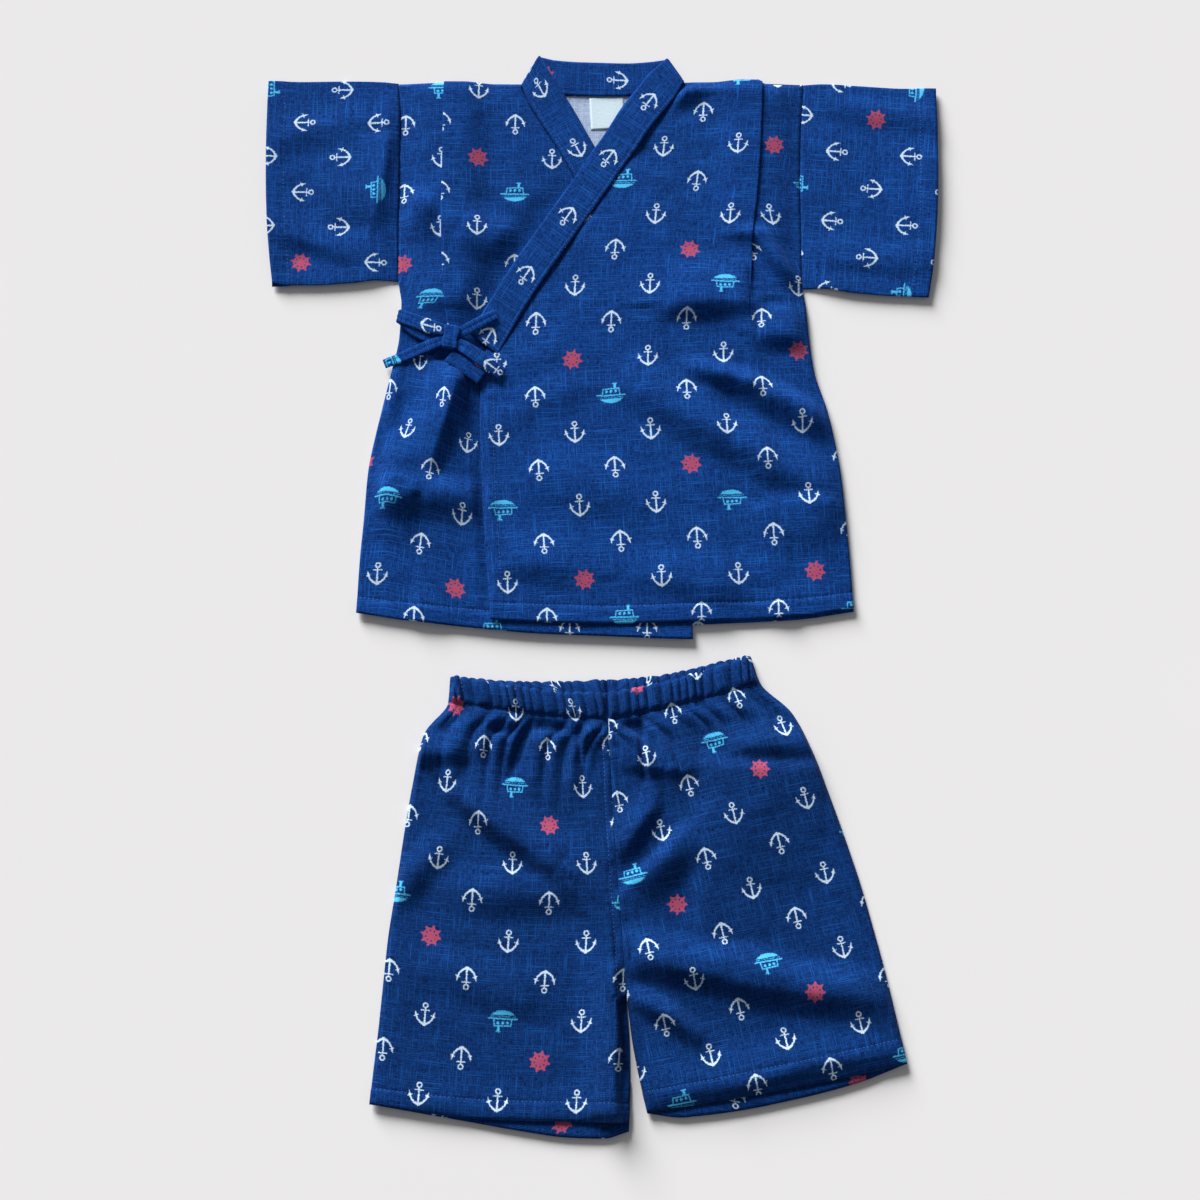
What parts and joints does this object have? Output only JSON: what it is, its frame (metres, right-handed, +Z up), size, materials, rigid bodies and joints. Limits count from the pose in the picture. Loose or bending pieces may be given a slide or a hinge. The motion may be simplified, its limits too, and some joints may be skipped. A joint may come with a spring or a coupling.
{
  "type": "jinbei set",
  "caption": "Child's jinbei set laid flat: a short-sleeved wrap jacket with a band collar, shoulder tucks and a tied bow, above matching elastic-waisted shorts.",
  "frame": {"origin": "on the table, under the middle of the whole laid-out set", "axes": "+X towards the wearer's left, +Y from the shorts towards the collar, +Z up from the table"},
  "size_m": [0.5459, 0.8653, 0.0106],
  "materials": {
    "printed_cotton": "matte slub-weave cotton, deep blue with a small printed repeat",
    "label_tape": "bare white woven tape"
  },
  "bodies": {
    "root": {"back": "printed_cotton", "front_right": "printed_cotton", "front_left": "printed_cotton", "sleeve_right": "printed_cotton", "sleeve_left": "printed_cotton", "collar": "printed_cotton", "tie_knot": "printed_cotton", "tie_loop": "printed_cotton", "tie_tail_right": "printed_cotton", "tie_collar": "printed_cotton", "tie_end_over": "printed_cotton", "tie_end_under": "printed_cotton", "leg_right": "printed_cotton", "leg_left": "printed_cotton", "label": "label_tape"}
  },
  "joints": []
}
